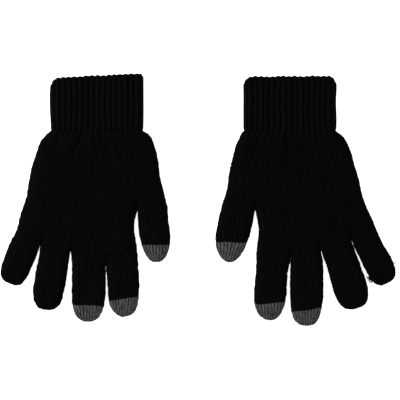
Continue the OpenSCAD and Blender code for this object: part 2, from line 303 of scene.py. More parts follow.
def ripple(points, seed, length, size, waves=7):
    """A smooth random field over the flat plane, of about that wavelength and height."""
    draw = np.random.default_rng(seed)
    field = np.zeros(len(points))
    for _ in range(waves):
        turn = draw.uniform(0, 2 * math.pi)
        pitch = 2 * math.pi / (length * draw.uniform(0.7, 1.5))
        way = np.array([math.cos(turn), math.sin(turn)])
        field += np.cos(points @ way * pitch + draw.uniform(0, 2 * math.pi))
    return field * size / math.sqrt(waves)


def ripples(points, seed, fields):
    return sum(ripple(points, seed + offset, length, size) for offset, length, size in fields)


def section(width, height, pinch, rounds, steps, quarter_steps=24):
    """One course seen from its end: places across it and shares of its height, evenly spaced.
    pinch says how far each side comes down, from 0 to 1."""
    quarter = np.linspace(0, math.pi / 2, quarter_steps)
    scale = min(1.0, width / (rounds[0] + rounds[1]))
    low_round, high_round = rounds[0] * scale, rounds[1] * scale
    x = np.concatenate([
        low_round * (1 - np.cos(quarter)),
        width - high_round * (1 - np.cos(quarter[::-1])),
    ])
    rise = np.concatenate([
        1 - pinch[0] * (1 - np.sin(quarter)),
        1 - pinch[1] * (1 - np.sin(quarter[::-1])),
    ])
    run = np.concatenate([[0], np.cumsum(np.hypot(np.diff(x), np.diff(rise * height)))])
    at = np.linspace(0, run[-1], steps + 1)
    return np.interp(at, run, x) / width, np.interp(at, run, rise)


def unit(vectors):
    return vectors / np.maximum(np.linalg.norm(vectors, axis=-1, keepdims=True), 1e-9)


# The shape of a glove
class Digit:
    """One finger or thumb: the frame's root, direction and sizes, as this pair has worn them."""

    def __init__(self, glove, name):
        joints = {joint["name"]: joint for joint in frame["joints"]}
        knuckle = joints[f"{glove.side}_{name}_knuckle"]
        middle = joints[f"{glove.side}_{name}_joint"]
        axis = knuckle["axis"]
        self.name = name
        self.outer = -1 if name == "thumb" else 1
        self.worn = Worn(*WORN[glove.side][name])
        self.root = glove.flat(knuckle["pos_m"])
        self.along = np.array([glove.sign * -axis[1], -axis[0]])
        self.across = np.array([self.along[1], -self.along[0]])
        self.joint = float((glove.flat(middle["pos_m"]) - self.root) @ self.along)
        cap = self.reach(glove, "cap", self.along)
        self.cap = cap.min()
        self.length = cap.max() + self.worn.longer
        self.half = np.abs(self.reach(glove, "base", self.across)).max() + KNIT_PROUD
        self.lean = math.tan(math.radians(self.worn.lean))
        self.taper = TIP_TAPER[name]
        self.square = TIP_SQUARE[name]
        self.end = self.length - self.taper * (1 - self.outline(END_SHARE))

    def reach(self, glove, part, direction):
        """How far each vertex of a CAD part lies from the root, along a direction."""
        node = frame["nodes"][f"{glove.side}_{self.name}_{part}"]
        return np.array([(glove.flat(v.co) - self.root) @ direction for v in node.data.vertices])

    def outline(self, share):
        """Height of the fingertip's outline, from 0 to 1, over a share of its half width."""
        return (1 - np.abs(share) ** self.square) ** (1 / self.square)

    def half_width(self, s):
        into = np.clip((s - self.length + self.taper) / self.taper, 0, 1)
        out = np.clip(s / self.length, 0, 1)
        widen = self.worn.widen_root + (self.worn.widen_tip - self.worn.widen_root) * out
        return (self.half + widen) * self.outline(into)

    def point(self, s, side):
        """A point on the digit's side: side is -1 towards the thumb, 1 towards the little finger."""
        out = np.clip(s / self.length, 0, 1)
        shift = self.worn.shift_root + (self.worn.shift_tip - self.worn.shift_root) * out
        half = self.half_width(s)
        if side == self.outer:
            half -= self.worn.tuck * (1 - smooth((s + CROTCH_BACK) / TUCK_REACH))
        return self.root + s * self.along + (shift + side * half) * self.across


class Glove:
    """One glove's knit as patches: for each digit, the palm side and the back from wrist to tip."""

    def __init__(self, side):
        wrist = next(j for j in frame["joints"] if j["name"] == f"{side}_wrist_bend")["pos_m"]
        self.side = side
        self.sign = SIDES[side]
        self.seed = SEEDS[side]
        self.place = wrist[0] / MM
        self.wrist = wrist[1] / MM
        low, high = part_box(f"{side}_cuff")
        self.cuff_width = (high.x - low.x) / MM + 2 * CUFF_PROUD
        self.cuff_height = (high.z - low.z) / MM
        self.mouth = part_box(f"{side}_cuff_edge")[1].y / MM - self.wrist - CUFF_SHORT[side]
        self.digits = [Digit(self, name) for name in DIGITS]
        self.lay_out_boundaries()
        self.strips = [self.strip_lines(index) for index in range(len(DIGITS))]
        self.heights = [self.strip_height(index) for index in range(len(DIGITS))]

    def flat(self, point):
        """A point of the row frame as (u, v)."""
        return np.array([self.sign * (point[0] / MM - self.place), self.wrist - point[1] / MM])

    def row_frame(self, points):
        """(u, v, z) in millimetres back to metres in the row frame."""
        return np.stack([
            self.place + self.sign * points[:, 0], self.wrist - points[:, 1], points[:, 2],
        ], axis=1) * MM

    def crotch(self, k):
        """Where digit k - 1 parts from digit k."""
        here = self.digits[k - 1].point(-CROTCH_BACK, 1)
        there = self.digits[k].point(-CROTCH_BACK, -1)
        rise = CROTCH_RISE[self.side].get(k, 0) * self.digits[k].along
        return (here if here[1] < there[1] else there) - rise

    def palm_line(self, start_u, end, way, outward):
        """A line of the palm from the wrist to end, swelling past the cuff by its share outward."""
        start = np.array([start_u, KNIT_START])
        reach = np.linalg.norm(end - start)
        line = hermite(start, (end - start) * [WRIST_LEAN, 1.0], end, way * reach)
        past = line[:, 1] - KNIT_START
        swell = (1 - np.exp(-past / GATHER_REACH)) * (1 - smooth(past / past[-1]))
        line[:, 0] += outward * GATHER_BULGE * swell
        return line

    def silhouette(self, edge, end):
        """The hand's outer edge from the wrist to the root of its outermost digit."""
        turn = -1 if edge == "thumb" else 1
        marks = [
            (turn * half, v) for half, v in zip(OUTLINE[self.side][edge], OUTLINE_AT)
            if v < end[1] - COURSE * OUTLINE_CLEAR
        ]
        return spline(marks + [tuple(end)])

    def lay_out_boundaries(self):
        """The lines between the digits' strips, and how many courses reach each crotch."""
        last = len(DIGITS)
        shares = np.cumsum([0] + [WRIST_SHARES[name] for name in DIGITS])
        thumb_edge = -OUTLINE[self.side]["thumb"][0]
        little_edge = OUTLINE[self.side]["little"][0]
        wrist_u = thumb_edge + (little_edge - thumb_edge) * shares / shares[-1]
        ends = [self.digits[0].point(-CROTCH_BACK, -1)]
        ends += [self.crotch(k) for k in range(1, last)]
        ends += [self.digits[-1].point(-CROTCH_BACK, 1)]
        lines = [self.silhouette("thumb", ends[0])]
        lines += [
            self.palm_line(wrist_u[k], ends[k], self.digits[k].along, wrist_u[k] / little_edge)
            for k in range(1, last)
        ]
        lines += [self.silhouette("little", ends[-1])]
        thumb = round(line_length(lines[1]) / COURSE)
        finger = round(line_length(lines[3]) / COURSE)
        deep = finger + round((ends[2][1] - ends[3][1]) / COURSE)
        self.ends = ends
        self.crotch_course = [thumb, thumb, deep, finger, finger, finger]
        self.root_course = dict(zip(DIGITS, (thumb, deep, deep, finger, finger)))
        self.lines = [spaced(line, n * ROWS) for line, n in zip(lines, self.crotch_course)]

    def side_rows(self, digit, k, side):
        """Points down one side of a digit's strip, one for each row up to its root."""
        root_rows = self.root_course[digit.name] * ROWS
        line = self.lines[k]
        if len(line) <= root_rows:
            start, end = self.ends[k], digit.point(-CROTCH_BACK, side)
            reach = np.linalg.norm(end - start)
            spread = THUMB_SPREAD[self.side] if digit.name == "index" else FINGER_SPREAD
            leave = digit.along - side * spread * digit.across
            extra = hermite(start, leave * reach, end, digit.along * reach)
            line = np.vstack([line, spaced(extra, root_rows + 1 - len(line))[1:]])
        return line[: root_rows + 1]

    def digit_side(self, digit, start, side, s):
        """A digit's side past its root, eased in from where the palm's line ends."""
        gap = start - digit.point(-CROTCH_BACK, side)
        return np.array([
            digit.point(at, side) + gap * (1 - smooth((at + CROTCH_BACK) / EASE_REACH)) for at in s
        ])

    def strip_lines(self, index):
        """Both sides of a digit's strip, row by row, and each row's distance along the digit."""
        digit = self.digits[index]
        root_rows = self.root_course[digit.name] * ROWS
        past_root = digit.end + CROTCH_BACK
        finger_rows = round(past_root / COURSE) * ROWS
        low = self.side_rows(digit, index, -1)
        high = self.side_rows(digit, index + 1, 1)
        s = -CROTCH_BACK + past_root * np.arange(1, finger_rows + 1) / finger_rows
        low = np.vstack([low, self.digit_side(digit, low[-1], -1, s)])
        high = np.vstack([high, self.digit_side(digit, high[-1], 1, s)])
        before = (np.arange(root_rows + 1) - root_rows) * COURSE / ROWS - CROTCH_BACK
        return low, high, np.concatenate([before, s])

    def strip_height(self, index):
        """The fabric's height down the middle of a digit's strip, row by row."""
        low, high, s = self.strips[index]
        past_wrist = (low[:, 1] + high[:, 1]) / 2 - KNIT_START
        into_tip = s - self.digits[index].length + TIP_REACH
        height = CUFF_HEIGHT + (PALM_HEIGHT - CUFF_HEIGHT) * smooth(past_wrist / PALM_REACH)
        height += (DIGIT_HEIGHT - PALM_HEIGHT) * smooth(1 + s / DIGIT_REACH)
        return height + (TIP_HEIGHT - DIGIT_HEIGHT) * smooth(into_tip / TIP_REACH)

    def meeting_height(self, index, k):
        """How much higher than its middle a strip is at boundary k, so that it meets its neighbour."""
        own = self.heights[index]
        change = np.zeros(len(own))
        if 0 < k < len(DIGITS):
            other = self.heights[index - 1 if k == index else index + 1]
            shared = self.crotch_course[k] * ROWS
            change[: shared + 1] = (other[: shared + 1] - own[: shared + 1]) / 2
            past = np.arange(len(own) - shared)
            change[shared:] = change[shared] * (1 - smooth(past / (MEETING_COURSES * ROWS)))
        return change

    def pinch(self, rows, k):
        """How far the fabric comes down at boundary k, for each row."""
        if k in (0, len(DIGITS)):
            return np.ones(len(rows))
        depth = (rows / ROWS - self.crotch_course[k] + PINCH_COURSES) / PINCH_COURSES
        return np.clip(depth, 0, 1) ** PINCH_POWER

    def course(self, index, row, pinch, change):
        """One row of a digit's strip: its points in plan, its shares of height, its heights."""
        digit = self.digits[index]
        low, high, s = (line[row] for line in self.strips[index])
        width = np.linalg.norm(high - low)
        side_round = PALM_ROUND + (SIDE_ROUND - PALM_ROUND) * smooth(1 + s / DIGIT_REACH)
        rounds = [CREASE_WIDTH + (side_round - CREASE_WIDTH) * down for down in pinch]
        middle = self.heights[index][row]
        x, rise = section(width, middle / 2, pinch, rounds, WALES[digit.name] * COLS)
        height = middle + change[0] * smooth(1 - 2 * x) + change[1] * smooth(2 * x - 1)
        bow = smooth(1 + (s - digit.end) / BOW_LENGTH)
        ahead = digit.taper * (digit.outline(END_SHARE * (2 * x - 1)) - digit.outline(END_SHARE))
        left = (1 - bow) * ahead + (digit.end - s)
        rise = rise * np.sqrt(1 - (1 - np.clip(left / END_ROUND, 0, 1)) ** 2)
        lean = digit.lean * smooth(1 - np.abs(s - digit.cap) / LEAN_REACH) * width * (x - 0.5)
        plan = low + (high - low) * x[:, None] + (bow * ahead + lean)[:, None] * digit.along
        return plan, rise, height

    def patch(self, index):
        """The rows of a digit's strip, each stitch sagging towards the fingertip."""
        rows = np.arange(len(self.strips[index][2]))
        pinch = np.stack([self.pinch(rows, k) for k in (index, index + 1)], axis=1)
        change = np.stack([self.meeting_height(index, k) for k in (index, index + 1)], axis=1)
        courses = [self.course(index, row, pinch[row], change[row]) for row in rows]
        plan, rise, height = (np.array(part) for part in zip(*courses))
        sag = 1 - np.abs(2 * ((np.arange(rise.shape[1]) / COLS) % 1) - 1)
        inside = np.minimum(1, np.minimum(rows, rows[::-1]) / ROWS)
        plan += unit(np.gradient(plan, axis=0)) * (STITCH_SAG * inside[:, None] * sag)[:, :, None]
        return plan, rise, height

    def part_of_rows(self, index, rows):
        """Which piece each row of faces belongs to: 0 for the hand, then the digit's parts in turn."""
        digit = self.digits[index]
        s = self.strips[index][2]
        split = (KNUCKLE_AFTER + digit.joint - JOINT_BEFORE) / 2
        split_row = int(np.argmin(np.abs(s - split)))
        cap_course = int(np.argmin(np.abs(s - digit.cap)) // ROWS)
        cap_course += TIP_LATER[self.side].get(digit.name, 0)
        starts = (self.root_course[digit.name] * ROWS, split_row, cap_course * ROWS)
        return sum(rows >= start for start in starts)

    def face(self, index, facing, patch, first):
        """One face of a patch, facing 1 for the palm side or -1 for the back: its grid's points
        and stitches, and its faces with their piece and their place in the glove's layout."""
        plan, rise, height = patch
        r, c = np.meshgrid(np.arange(rise.shape[0]), np.arange(rise.shape[1]), indexing="ij")
        z = height / 2 * (1 + facing * rise)
        a = (r[:-1, :-1] * r.shape[1] + c[:-1, :-1]).ravel()
        quads = np.stack([a, a + 1, a + r.shape[1] + 1, a + r.shape[1]], axis=1)[:, ::facing]
        part = self.part_of_rows(index, r[:-1, :-1].ravel())
        hand = LABELS.index("palm" if facing > 0 else "back")
        digit = LABELS.index(f"{DIGITS[index]}_{PARTS[0]}")
        wales_before = sum(WALES[name] for name in DIGITS[:index])
        u = c / COLS + wales_before
        v = r / ROWS / MOST_COURSES + (0 if facing > 0 else 1)
        return {
            "points": np.concatenate([plan, z[:, :, None]], axis=2).reshape(-1, 3),
            "wale": (c / COLS).ravel(),
            "course": (r / ROWS).ravel(),
            "facing": np.full(r.size, facing),
            "quads": quads + first,
            "label": np.where(part == 0, hand, digit + part - 1),
            "uv": np.stack([u, v], axis=2).reshape(-1, 2)[quads],
        }

    def knit(self):
        """Every patch's points and faces, merged where patches meet."""
        faces, first = [], 0
        for index in range(len(DIGITS)):
            patch = self.patch(index)
            for facing in (1, -1):
                faces.append(self.face(index, facing, patch, first))
                first += patch[1].size
        knit = {key: np.concatenate([face[key] for face in faces]) for key in faces[0]}
        keys = np.round(knit["points"] * MERGE_PER_MM).astype(np.int64)
        _, kept, merged = np.unique(keys, axis=0, return_index=True, return_inverse=True)
        for key in ("points", "wale", "course", "facing"):
            knit[key] = knit[key][kept]
        knit["quads"] = merged.ravel()[knit["quads"]]
        return knit


# Meshes
def vertex_normals(points, quads):
    diagonal_a = points[quads[:, 2]] - points[quads[:, 0]]
    diagonal_b = points[quads[:, 3]] - points[quads[:, 1]]
    face = np.cross(diagonal_a, diagonal_b)
    total = np.zeros_like(points)
    for corner in range(4):
        for axis in range(3):
            total[:, axis] += np.bincount(quads[:, corner], face[:, axis], len(points))
    return unit(total)


def make_mesh(name, points, quads, uv, yarn, normals=None):
    """A mesh object from numpy arrays, with only the points that its faces use."""
    used, packed = np.unique(quads, return_inverse=True)
    packed = packed.reshape(quads.shape).astype(np.int32)
    mesh = bpy.data.meshes.new(name)
    mesh.vertices.add(len(used))
    mesh.vertices.foreach_set("co", points[used].astype(np.float32).ravel())
    mesh.loops.add(packed.size)
    mesh.loops.foreach_set("vertex_index", packed.ravel())
    mesh.polygons.add(len(packed))
    mesh.polygons.foreach_set("loop_start", np.arange(0, packed.size, 4, dtype=np.int32))
    mesh.update(calc_edges=True)
    mesh.polygons.foreach_set("use_smooth", np.ones(len(packed), dtype=bool))
    layer = mesh.uv_layers.new(name="OFBake")
    layer.data.foreach_set("uv", uv.astype(np.float32).ravel())
    # The 'yarn' attribute carries each point's painted shade to the material.
    painted_shade_layer = mesh.attributes.new("yarn", "FLOAT", "POINT")
    painted_shade_layer.data.foreach_set("value", yarn[used].astype(np.float32))
    if normals is not None:
        mesh.normals_split_custom_set_from_vertices(normals[used].astype(np.float32))
    mesh.validate()
    piece = bpy.data.objects.new(name, mesh)
    bpy.context.scene.collection.objects.link(piece)
    return piece


def fill_texture(uv):
    """A piece's share of the knit's layout, stretched over the whole texture. Where the piece has
    both faces, the palm side fills one half of it and the back the other."""
    face = np.floor(uv[..., 1])
    first, faces = face.min(), len(np.unique(face))
    place = np.stack([uv[..., 0], uv[..., 1] - face], axis=-1)
    low, high = place.min(axis=(0, 1)), place.max(axis=(0, 1))
    place = UV_MARGIN + (1 - 2 * UV_MARGIN) * (place - low) / (high - low)
    place[..., 1] = (place[..., 1] + face - first) / faces
    return place


def tube_quads(rows, steps):
    """Faces of a grid of rows that closes on itself, with the row and column of each corner."""
    r, c = np.meshgrid(np.arange(rows - 1), np.arange(steps), indexing="ij")
    r, c = r.ravel(), c.ravel()
    row = np.stack([r, r, r + 1, r + 1], axis=1)
    column = np.stack([c, c + 1, c + 1, c], axis=1)
    quads = row * steps + column % steps
    uv = np.stack([column / steps, row / rows], axis=2)
    return quads, uv, row


# The stitches and folds of the hand
def stitch_legs(wale, course):
    """A stitch's two legs, leaning apart like a V, from 0 in the grooves to 1 on a leg."""
    x = np.abs(wale - np.floor(wale) - 0.5)
    y = course - np.floor(course)
    leg = LEG_OFFSET + LEG_LEAN * y
    ridge = np.sqrt(np.clip(1 - ((x - leg) / LEG_WIDTH) ** 2, 0, 1))
    return ridge * (0.5 + 0.5 * np.sin(math.pi * y))


def wale_swell(wale, broad=0.8):
    """The broad rib that a wale's legs stand on, from 0 between two wales to 1 down a wale's middle."""
    return np.abs(np.sin(math.pi * wale)) ** broad


def fold_height(side, points):
    total = np.zeros(len(points))
    for across, along, turn, length, width, height in FOLDS[side]:
        way = np.array([math.sin(math.radians(turn)), math.cos(math.radians(turn))])
        offset = points[:, :2] - [across, along]
        lengthwise = offset @ way / length * FOLD_SHARP
        sideways = offset @ [way[1], -way[0]] / width
        total += height * np.exp(-lengthwise ** 2 - sideways ** 2)
    return total


def loop_sizes(width, height):
    """Length of the flat part and of a round end of a flattened loop."""
    return width - height, math.pi * height / 2


def rib_crest(rib_at):
    """1 on the crest of a rib, 0 in the valley between two ribs."""
    return (0.5 + 0.5 * np.cos(2 * math.pi * rib_at)) ** RIB_CREST


def hand_ribs(glove, points, upper):
    """The cuff's ribs going on into the hand's first courses, as a height below their crests."""
    straight, round_half = loop_sizes(glove.cuff_width, glove.cuff_height)
    pitch = 2 * (straight + round_half) / RIBS
    fade = 1 - smooth((points[:, 1] - KNIT_START) / RIB_FADE)
    half = glove.cuff_width / 2
    u = points[:, 0] * half / (half + (1 - fade) * RIB_SPREAD)
    rib_at = np.where(upper, straight / 2 - u, straight * 1.5 + round_half + u) / pitch
    return -RIB_DEPTH * fade * (1 - rib_crest(rib_at))


def lay_loosely(glove, points, upper):
    """Moves the even knit into the way this worn glove lies. Returns how uneven its stitches are."""
    plan = points[:, :2].copy()
    body = smooth(plan[:, 1] / WANDER_FADE)
    roundness = np.clip(points[:, 2] / ROUND_HEIGHT, 0, 1)
    points[:, 0] += body * ripples(plan, glove.seed, WANDER_ACROSS)
    points[:, 1] += body * ripples(plan, glove.seed, WANDER_ALONG)
    points[:, 2] += roundness * ripples(plan, glove.seed, WANDER_UP)
    points[:, 2] += upper * roundness * fold_height(glove.side, points)
    return 1 + STITCH_UNEVEN * ripples(plan, glove.seed, WANDER_STITCH)


def raise_stitches(glove, knit, upper, uneven):
    """Raises each stitch out of the surface, and returns each point's painted shade: low, for painted
    shade, down between the wales, and high, for painted light, on a stitch's legs and a wale's middle.
    """
    points = knit["points"]
    normals = vertex_normals(points, knit["quads"])
    legs = stitch_legs(knit["wale"], knit["course"])
    swell = wale_swell(knit["wale"])
    past = points[:, 1] - KNIT_START
    gathered = GATHERED_STITCH + (1 - GATHERED_STITCH) * smooth(past / RIB_FADE)
    stitch = (LEG_SHARE * legs + (1 - LEG_SHARE) * swell) * uneven - STITCH_LEVEL
    sunk = EMERGE_DEPTH * (1 - smooth(past / EMERGE_REACH))
    height = hand_ribs(glove, points, upper) + STITCH_DEPTH * stitch * gathered - sunk
    points += normals * height[:, None]
    points[:, 2] = np.maximum(points[:, 2], FLOOR_GAP)
    # Painted shade: stitch legs and wale middles painted light, grooves between wales painted dark.
    return LEG_PAINTED_SHADE * legs + (1 - LEG_PAINTED_SHADE) * swell


def add_fibres(knit, seed):
    """Adds loose fibre ends standing off the knit: one slim quad each, rooted on a stitch."""
    draw = np.random.default_rng(seed)
    source = draw.integers(0, len(knit["quads"]), FIBRES)
    corner = knit["quads"][source, 0]
    up = knit["normals"][corner]
    lean = draw.normal(size=(FIBRES, 3))
    lean = unit(lean - up * (lean * up).sum(axis=1, keepdims=True))
    way = unit(lean + up * draw.uniform(*FIBRE_RISE, (FIBRES, 1)))
    side = unit(np.cross(way, up))
    root = knit["points"][corner] - up * FIBRE_SUNK
    end = root + way * draw.uniform(*FIBRE_LENGTH, (FIBRES, 1))
    end[:, 2] = np.maximum(end[:, 2], FLOOR_GAP)
    corners = [
        root - side * FIBRE_HALF, root + side * FIBRE_HALF, end + side * FIBRE_END, end - side * FIBRE_END,
    ]
    added = {
        "points": np.stack(corners, axis=1).reshape(-1, 3),
        "normals": np.repeat(up, 4, axis=0),
        # Each fibre takes the painted shade of the stitch it grows from.
        "yarn": np.repeat(knit["yarn"][corner], 4),
        "quads": len(knit["points"]) + np.arange(FIBRES * 4).reshape(-1, 4),
        "uv": np.repeat(knit["uv"][source][:, :1], 4, axis=1),
        "label": knit["label"][source],
    }
    return {key: np.concatenate([knit[key], added[key]]) for key in added}


def build_knit(glove):
    """The hand and digits of one glove as pieces, by label."""
    knit = glove.knit()
    upper = knit["facing"] > 0
    uneven = lay_loosely(glove, knit["points"], upper)
    # The 'yarn' values are painted shade, which the material turns into dark grooves and light stitches.
    knit["yarn"] = raise_stitches(glove, knit, upper, uneven)
    knit["normals"] = vertex_normals(knit["points"], knit["quads"])
    knit = add_fibres(knit, glove.seed + FIBRE_SEED)
    placed = glove.row_frame(knit["points"])
    normals = knit["normals"] * [glove.sign, -1, 1]
    quads = knit["quads"][:, ::-glove.sign]
    uv = knit["uv"][:, ::-glove.sign]
    pieces = {}
    for key, label in enumerate(LABELS):
        mine = knit["label"] == key
        name = f"{glove.side}_{label}_knit"
        pieces[label] = make_mesh(name, placed, quads[mine], fill_texture(uv[mine]), knit["yarn"], normals)
    return pieces


# The cuff
def loop_places(width, height, steps):
    """Points and outward normals around a flattened loop, at equal distances."""
    straight, round_half = loop_sizes(width, height)
    around = 2 * (straight + round_half)
    s = np.arange(steps) / steps * around
    stops = [0, straight, straight + round_half, 2 * straight + round_half, around]
    u = np.interp(s, stops, np.array([0.5, -0.5, -0.5, 0.5, 0.5]) * straight)
    turn = np.interp(s, stops, [0, 0, math.pi, math.pi, 2 * math.pi])
    normal = np.stack([-np.sin(turn), np.cos(turn)], axis=1)
    centre = np.stack([u, np.full(steps, height / 2)], axis=1)
    return centre + normal * height / 2, normal


def corner_drop(glove, u):
    """How far the mouth comes down at the cuff's two rounded corners."""
    sizes = CUFF_CORNER[glove.side]
    radius = np.where(u < 0, sizes["thumb"], sizes["little"])
    into = np.clip((np.abs(u) - glove.cuff_width / 2 + radius) / radius, 0, 1)
    return radius * (1 - np.sqrt(1 - into ** 2))


def cuff_profile(mouth):
    """Rows of the cuff from the hand up its outer face, over the lip and down its inner face:
    how far along, and how much of each row is outer face."""
    courses = round((mouth + CUFF_TUCK) / COURSE)
    turn = np.linspace(0, math.pi, LIP_STEPS)[1:-1]
    outer = np.linspace(-CUFF_TUCK, mouth - LIP, courses * ROWS + 1)
    inner = np.linspace(mouth - LIP, -LINING_TUCK, courses + 1)
    along = np.concatenate([outer, mouth - LIP + LIP * np.sin(turn), inner])
    outside = np.concatenate([np.ones(len(outer)), (1 + np.cos(turn)) / 2, np.zeros(len(inner))])
    return along[:, None], outside[:, None]


def cuff_rows(glove, u, crest, along):
    """How far down the hand each point of the cuff lies, with its slant and its uneven mouth."""
    draw = np.random.default_rng(glove.seed + UNEVEN_SEED)
    longer = draw.uniform(*RIB_UNEVEN, RIBS)
    rib_at = np.arange(len(u)) / RIB_COLS
    longer = np.interp(rib_at, np.arange(RIBS + 1), np.append(longer, longer[0]))
    reach = np.clip(along / glove.mouth, 0, 1)
    slant = CUFF_SLANT[glove.side] * u / (glove.cuff_width / 2)
    near_mouth = smooth(1 + (along - glove.mouth) / MOUTH_REACH)
    corner = corner_drop(glove, u)
    drop = corner - (crest * RIB_LONGER + longer) * np.exp(-CORNER_FALL * corner)
    return -along + reach * slant + near_mouth * drop


def cuff_inset(crest, legs, along, outside):
    """How deep each point of the cuff lies inside its outer surface."""
    tucked = 1 - smooth((along + CUFF_TUCK) / (CUFF_TUCK - KNIT_START + TUCK_PAST))
    valley = outside * RIB_DEPTH * (1 - crest)
    inner_rib = (1 - outside) * RIB_DEPTH * INNER_RIB * crest
    in_valley = VALLEY_STITCH + (1 - VALLEY_STITCH) * crest
    stitch = CUFF_STITCH * (legs - 0.5) * in_valley * (2 * outside - 1)
    return CUFF_WALL * (1 - outside) + valley - inner_rib + TUCK_DEPTH * tucked * outside - stitch


def build_cuff(glove):
    """The ribbed cuff: its outer face, its finished edge and its inner face, as one folded tube."""
    steps = RIBS * RIB_COLS
    rib_at = np.arange(steps) / RIB_COLS
    ring, normal = loop_places(glove.cuff_width, glove.cuff_height, steps)
    along, outside = cuff_profile(glove.mouth)
    crest = rib_crest(rib_at)
    legs = stitch_legs(rib_at + 0.5, along / COURSE)
    v = cuff_rows(glove, ring[:, 0], crest, along)
    plan = np.stack([np.broadcast_to(ring[:, 0], v.shape), v], axis=2).reshape(-1, 2)
    wander = ripples(plan, glove.seed, WANDER_CUFF).reshape(v.shape)
    inset = cuff_inset(crest, legs, along, outside) - wander / 2
    u = ring[:, 0] - normal[:, 0] * inset + wander
    z = np.maximum(ring[:, 1] - normal[:, 1] * inset, FLOOR_GAP)
    placed = glove.row_frame(np.stack([u, v, z], axis=2).reshape(-1, 3))
    # Painted shade on the ribs: dark in the valleys between them, light on their crests and on the
    # stitches' legs.
    yarn = (LEG_PAINTED_SHADE * legs + (1 - LEG_PAINTED_SHADE) * crest).ravel()
    quads, uv, row = tube_quads(len(along), steps)
    edge = (along[row, 0] >= glove.mouth - EDGE_LENGTH).all(axis=1)
    quads, uv = quads[:, ::glove.sign], uv[:, ::glove.sign]
    cuff = make_mesh(f"{glove.side}_cuff_knit", placed, quads[~edge], uv[~edge], yarn)
    rim = make_mesh(f"{glove.side}_cuff_edge_knit", placed, quads[edge], uv[edge], yarn)
    return cuff, rim


def elastic_lane(ring, normal, lane):
    """The points of one elastic yarn around the cuff."""
    wave = ELASTIC_WAVE * np.sin(np.arange(len(ring)) * 2 * math.pi * RIBS / len(ring))
    circles = []
    for side in [*range(ELASTIC_SIDES), 0]:
        angle = 2 * math.pi * side / ELASTIC_SIDES
        flat = ring + normal * (ELASTIC_RADIUS * math.cos(angle) + wave)[:, None]
        v = np.full(len(ring), lane + ELASTIC_RADIUS * math.sin(angle))
        circles.append(np.stack([flat[:, 0], v, flat[:, 1]], axis=1))
    return np.vstack(circles)


def build_elastic(glove):
    """Covered elastic yarns laid around the inner face of the cuff."""
    low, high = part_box(f"{glove.side}_cuff_elastic")
    inset = CUFF_PROUD + CUFF_WALL + ELASTIC_RADIUS
    ring, normal = loop_places(
        glove.cuff_width - 2 * inset, glove.cuff_height - 2 * inset, ELASTIC_STEPS
    )
    ring[:, 1] += inset
    first = glove.wrist - high.y / MM + 2 * ELASTIC_RADIUS
    last = glove.wrist - low.y / MM - 2 * ELASTIC_RADIUS
    lanes = np.linspace(first, last, ELASTIC_YARNS)
    points = np.vstack([elastic_lane(ring, normal, lane) for lane in lanes])
    quads, uv, _ = tube_quads(ELASTIC_SIDES + 1, ELASTIC_STEPS)
    lane_points = (ELASTIC_SIDES + 1) * ELASTIC_STEPS
    quads = np.vstack([quads + k * lane_points for k in range(ELASTIC_YARNS)])
    uv = np.concatenate([(uv + [0, k]) / [1, ELASTIC_YARNS] for k in range(ELASTIC_YARNS)])
    name = f"{glove.side}_elastic_yarn"
    # All points at 1: these yarns get no painted shade between wales.
    return make_mesh(name, glove.row_frame(points), quads[:, ::glove.sign], uv, np.ones(len(points)))


# The frayed fingertip
def build_strand(path, radius):
    """A thin tube along a path: its points and faces."""
    way = unit(np.gradient(path, axis=0))
    across = unit(np.cross(way, STRAND_UP))
    up = np.cross(across, way)
    taper = np.linspace(1, FRAY_END, len(path))[:, None] * radius
    turn = 2 * math.pi * np.arange(FRAY_SIDES) / FRAY_SIDES
    rings = [path + taper * (across * math.cos(a) + up * math.sin(a)) for a in turn]
    quads, uv, _ = tube_quads(len(path), FRAY_SIDES)
    return np.stack(rings, axis=1).reshape(-1, 3), quads, uv


def strand_path(digit, back, edge, ahead, away, draw):
    """A strand's way out of the digit's edge, with a little curl."""
    t = np.linspace(0, 1, FRAY_STEPS)[:, None]
    outward = edge * digit.across
    start = digit.point(digit.length - back, edge) - FRAY_SUNK * outward
    run = ahead * digit.along + (away + FRAY_SUNK) * outward
    curl = np.array([-run[1], run[0]]) * draw.uniform(-FRAY_CURL, FRAY_CURL)
    flat = start + t * run + np.sin(math.pi * t) * curl
    height = draw.uniform(*FRAY_HEIGHT) + draw.uniform(-FRAY_CLIMB, FRAY_CLIMB) * t
    return np.hstack([flat, height])


def build_fray(glove):
    """Worn yarn ends that have come out of the right little fingertip."""
    draw = np.random.default_rng(glove.seed + FRAY_SEED)
    parts, first = [], 0
    for back, edge, ahead, away, radius in FRAY:
        path = strand_path(glove.digits[-1], back, edge, ahead, away, draw)
        points, quads, uv = build_strand(path, radius)
        parts.append((points, quads + first, uv))
        first += len(points)
    points, quads, uv = (np.concatenate(group) for group in zip(*parts))
    name = "right_little_fray"
    # All points at 1: these strands get no painted shade between wales.
    return make_mesh(name, glove.row_frame(points), quads[:, ::glove.sign], uv, np.ones(len(points)))


# Materials
FIBRE_SCALE = 2600.0  # of the noise that breaks up single fibres
STREAK_SCALE = 640.0  # of the noise that streaks the yarn along the wales
STREAK_DRAWN = 0.3  # the streaks' width, as a share of their length
FIBRE_SHARE = 0.4
BREAK_UP = 2.2  # how strongly the noise breaks up the stitches' shading
# Where the colour ramp from painted shade to painted light starts.
PAINTED_SHADE_START = 0.25
BUMP_DEPTH = 0.0004
ROUGHNESS = 0.92
SHEEN_ROUGHNESS = 0.5


def node_tree(name):
    material = bpy.data.materials.new(name)
    material.use_nodes = True
    tree = material.node_tree
    shader = tree.nodes["Principled BSDF"]
    return material, tree, shader


